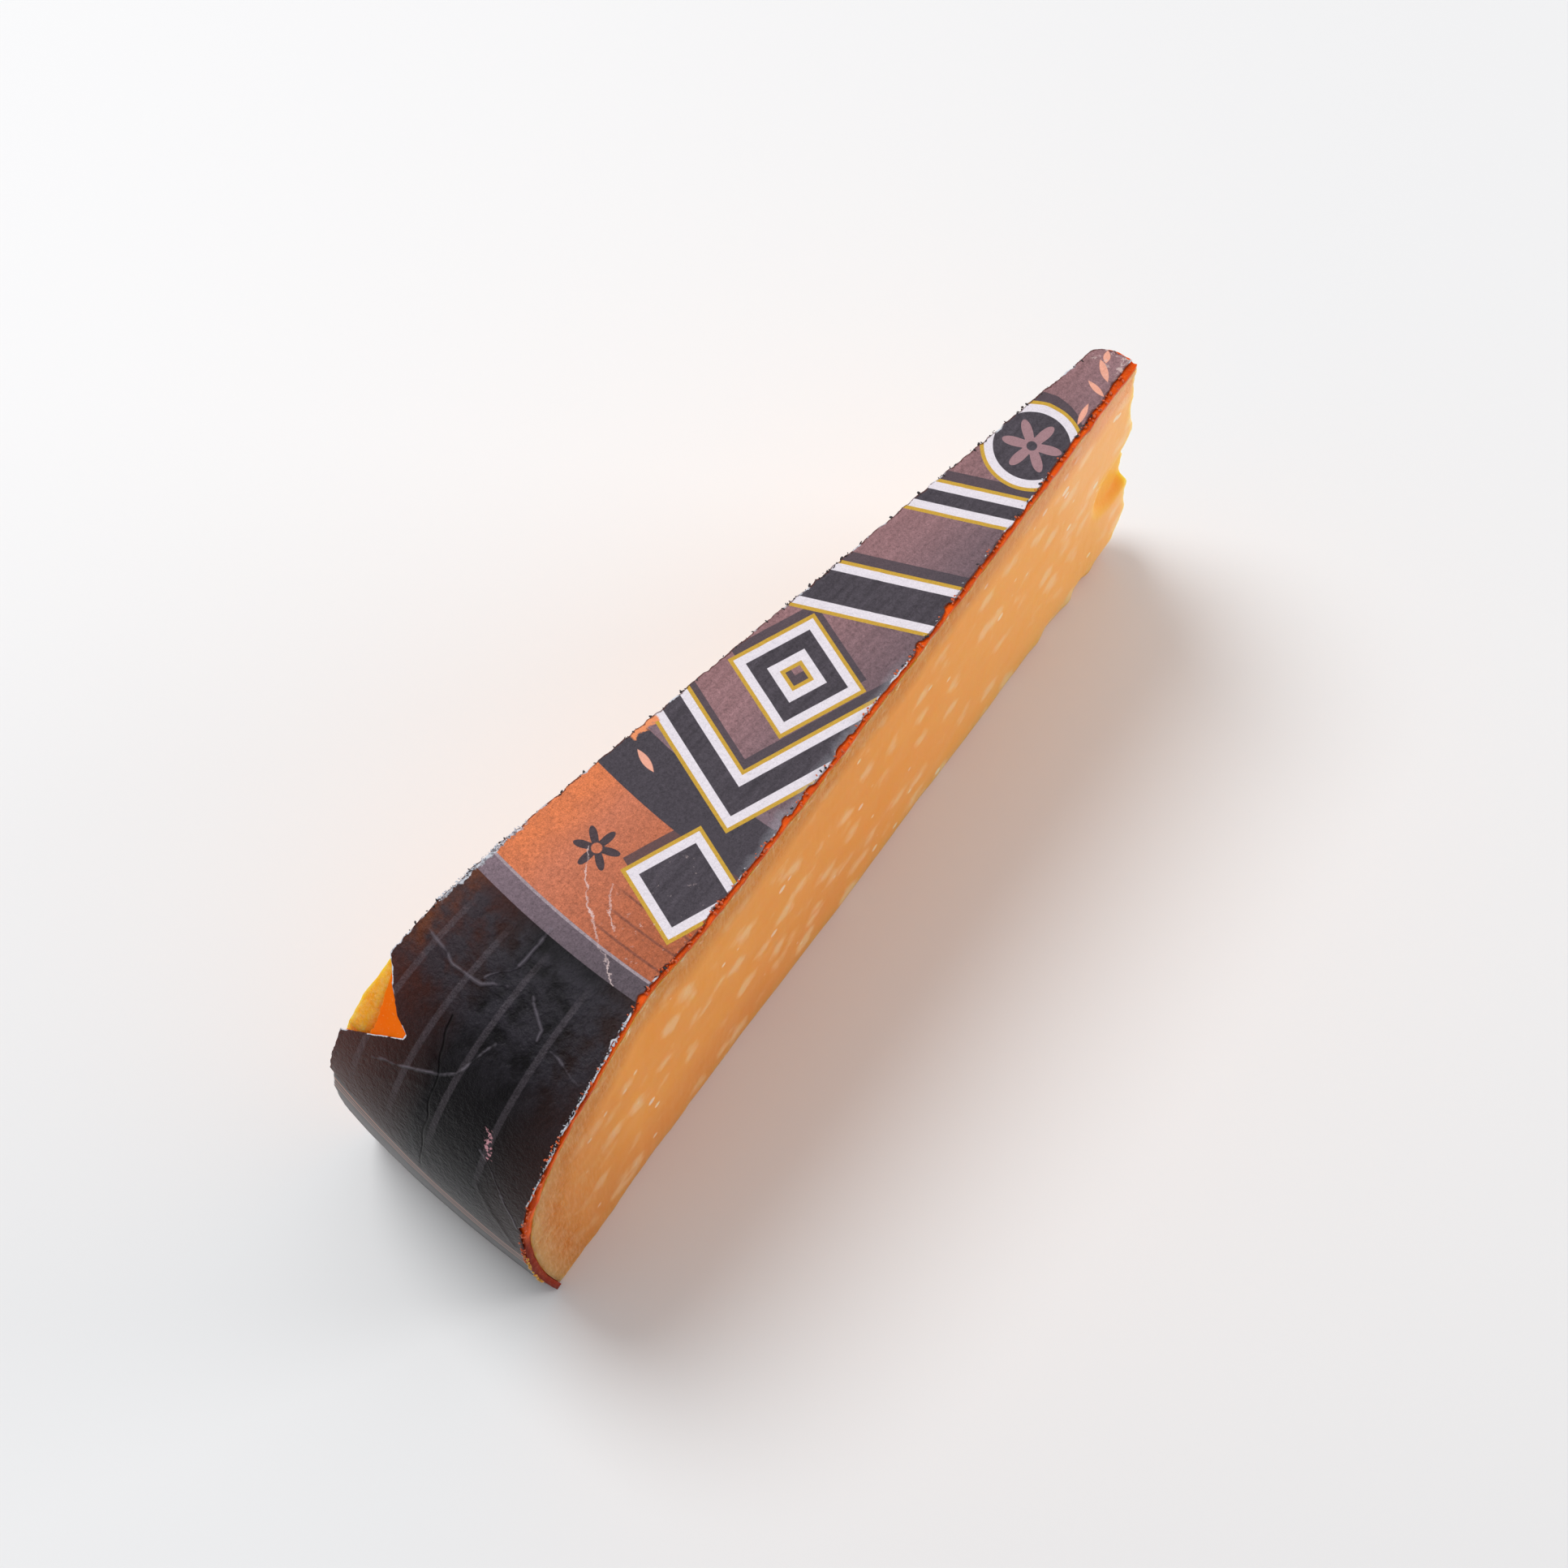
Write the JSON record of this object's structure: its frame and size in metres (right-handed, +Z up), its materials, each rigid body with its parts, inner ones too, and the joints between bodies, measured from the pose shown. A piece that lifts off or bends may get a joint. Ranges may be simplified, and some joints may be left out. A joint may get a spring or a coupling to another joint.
{
  "type": "cheese wedge",
  "caption": "Thin wedge of aged hard cheese from a large wheel, with an orange coat under dark printed paper labels, standing on its level cut.",
  "frame": {"origin": "on the floor, under the middle of the bounding box", "axes": "+Z up from the level cut to the top label, -X towards the heel (the rind end), +X towards the thin tip, -Y out of the nearer cut face"},
  "size_m": [0.1518, 0.0366, 0.061],
  "materials": {
    "paste": "smooth, slightly waxy and translucent cut cheese with pale crystals",
    "coat": "glossy translucent orange-red cheese coating",
    "label_print": null,
    "side_print": "varnished dark grey paper with fine rules"
  },
  "bodies": {
    "root": {"cheese_paste": "paste", "wax_coat": "coat", "top_label": "label_print", "side_label": "side_print"}
  },
  "joints": []
}
